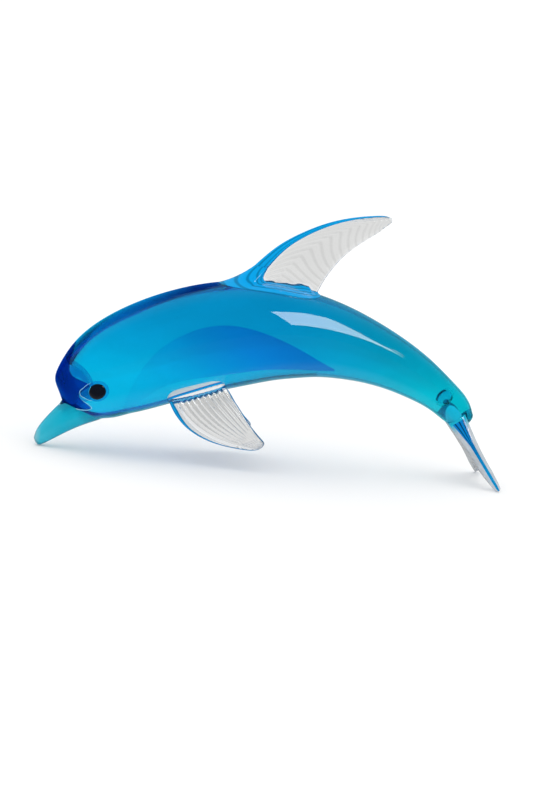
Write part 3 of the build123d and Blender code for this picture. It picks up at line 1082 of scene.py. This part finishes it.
def make_camera():
    back = Vector((
        math.sin(VIEW_AZIMUTH) * math.cos(VIEW_ELEVATION),
        -math.cos(VIEW_AZIMUTH) * math.cos(VIEW_ELEVATION),
        math.sin(VIEW_ELEVATION),
    ))
    data = bpy.data.cameras.new("camera")
    data.sensor_width = SENSOR
    data.lens = SENSOR * VIEW_DISTANCE / VIEW_HEIGHT
    data.clip_end = 200
    camera = bpy.data.objects.new("camera", data)
    bpy.context.scene.collection.objects.link(camera)
    level = (-back).to_track_quat("-Z", "Y").to_matrix()
    camera.matrix_world = (
        Matrix.Translation(VIEW_TARGET + back * VIEW_DISTANCE)
        @ (level @ Matrix.Rotation(VIEW_ROLL, 3, "Z")).to_4x4()
    )
    bpy.context.scene.camera = camera
    return camera


# The white room: seen directly or through glass, in reflections, and as light on the floor
ROOM_WHITE = 1.02
ROOM_IN_REFLECTIONS = 0.06
ROOM_TINT = (0.45, 0.80, 1.0)
BACKDROP_IN_REFLECTIONS = 0.55
ROOM_ON_FLOOR = 1.16
FLOOR_WHITE = 0.94
FLOOR_THROUGH_GLASS = 0.96
FLOOR_IN_REFLECTIONS = 0.4
FLOOR_HALF_WIDTH = 60.0
# The places across the floor, in metres, between which its reflection brightens
FLOOR_FADE = (-0.050, -0.015)
# The same for the room, by how far a direction points to the back
ROOM_FADE = (-0.35, 0.45)


def mirrored_rays(shading):
    """1 on rays that leave a glossy surface by reflection, 0 on all others."""
    rays = shading.add("LightPath").outputs
    return shading.math("SUBTRACT", rays["Is Reflection Ray"], rays["Is Diffuse Ray"], clamp=True)


def make_floor():
    """White paper: darker in front in reflections, and evenly bright through the glass."""
    mesh = bpy.data.meshes.new("floor")
    half = FLOOR_HALF_WIDTH
    corners = [(-half, -half, 0), (half, -half, 0), (half, half, 0), (-half, half, 0)]
    mesh.from_pydata(corners, [], [(0, 1, 2, 3)])
    floor = bpy.data.objects.new("floor", mesh)
    bpy.context.scene.collection.objects.link(floor)
    material = bpy.data.materials.new("floor_paper")
    shading = Shading(material)
    shader = shading.nodes["Principled BSDF"]
    shader.inputs["Roughness"].default_value = 0.7
    shader.inputs["Specular IOR Level"].default_value = 0.0
    place = shading.add("TexCoord").outputs["Object"]
    y = shading.add("SeparateXYZ", place).outputs["Y"]
    shares = (FLOOR_WHITE * ROOM_IN_REFLECTIONS, FLOOR_WHITE * FLOOR_IN_REFLECTIONS)
    fade = shading.remap(y, FLOOR_FADE, shares, smooth=True)
    pick = shading.remap(mirrored_rays(shading), (0, 1), (FLOOR_WHITE, fade))
    shading.feed(shader.inputs["Base Color"], pick)
    glow = shading.add("Emission", (FLOOR_THROUGH_GLASS,) * 3 + (1,)).outputs["Emission"]
    through = shading.add("LightPath").outputs["Is Transmission Ray"]
    seen = shading.add("MixShader", through, shader.outputs["BSDF"], glow).outputs["Shader"]
    shading.feed(shading.nodes["Material Output"].inputs["Surface"], seen)
    mesh.materials.append(material)


def softbox_seen_on_body(camera, name, t, angle, size, radiance, distance=1.0):
    """A rectangular studio light whose reflection falls on a chosen place on the body."""
    step = 0.01
    spot, ahead, over = (
        Vector(body_points(np.array(t + a), np.array(angle + b)))
        for a, b in ((0, 0), (step, 0), (0, step))
    )
    normal = (ahead - spot).cross(over - spot).normalized()
    if normal.y * math.sin(angle) < 0:
        normal = -normal
    view = (spot * MM - camera.matrix_world.translation).normalized()
    bounce = view.reflect(normal)
    data = bpy.data.lights.new(name, "AREA")
    data.shape = "RECTANGLE"
    data.size, data.size_y = size
    data.energy = radiance * math.pi * size[0] * size[1]
    light = bpy.data.objects.new(name, data)
    bpy.context.scene.collection.objects.link(light)
    light.location = spot * MM + bounce * distance
    light.rotation_euler = (-bounce).to_track_quat("-Z", "Y").to_euler()
    light.visible_diffuse = False
    light.visible_transmission = False


def make_world():
    """A white room that mirrors as a dim blue one, brighter at the back, and lights the floor."""
    world = bpy.data.worlds.new("studio")
    bpy.context.scene.world = world
    shading = Shading(world)
    background = shading.nodes["Background"].inputs
    mirrored = mirrored_rays(shading)
    # A Mix node's colour sockets share their names with others, so they go by their numbers
    hue = shading.add("Mix", data_type="RGBA")
    hue.inputs[6].default_value = (1, 1, 1, 1)
    hue.inputs[7].default_value = (*ROOM_TINT, 1)
    shading.feed(hue.inputs[0], mirrored)
    shading.feed(background["Color"], hue.outputs[2])
    direction = shading.add("TexCoord").outputs["Generated"]
    y = shading.add("SeparateXYZ", direction).outputs["Y"]
    shares = (ROOM_IN_REFLECTIONS, BACKDROP_IN_REFLECTIONS)
    fade = shading.remap(y, ROOM_FADE, shares, smooth=True)
    dim = shading.remap(mirrored, (0, 1), (ROOM_WHITE, fade))
    on_floor = shading.add("LightPath").outputs["Is Diffuse Ray"]
    shading.feed(background["Strength"], shading.remap(on_floor, (0, 1), (dim, ROOM_ON_FLOOR)))


# ------------ build everything

skin_tree = dense_body()
body_core = body_skin("trim_body", inset=-0.03)
make_casing()
finish_piece(body_skin("body_gather", inset=1.6), aqua_glass, "aqua_glass", "aqua_gather")
finish_piece(core_body(), core_glass, "blue_glass", "blue_core")
make_cap(skin_tree)
make_stripe()
finish_piece(trim(beak_body(), body_core), beak_glass, "aqua_glass", "beak")
make_eye(skin_tree, -1, "left")
make_eye(skin_tree, 1, "right")
make_dorsal(skin_tree, body_core)
make_pectoral(body_core, -1, "left", back=0)
make_pectoral(body_core, 1, "right", back=PECTORAL_SHIFT)
finish_piece(trim(knuckle_body(), body_core), fluke_glass, "clear_glass", "tail_knuckle")
make_fluke(body_core, -1, "left")
make_fluke(body_core, 1, "right")
discard(body_core)

camera = make_camera()
make_floor()
make_world()
softbox_seen_on_body(camera, "key_softbox", t=0.565, angle=-1.10, size=(0.35, 0.46), radiance=7.5)
softbox_seen_on_body(camera, "strip_light", t=0.77, angle=-1.06, size=(0.03, 0.04), radiance=6)
scene = bpy.context.scene
scene.view_settings.view_transform = "Standard"
scene.cycles.max_bounces = 40
scene.cycles.glossy_bounces = 24
scene.cycles.transmission_bounces = 32
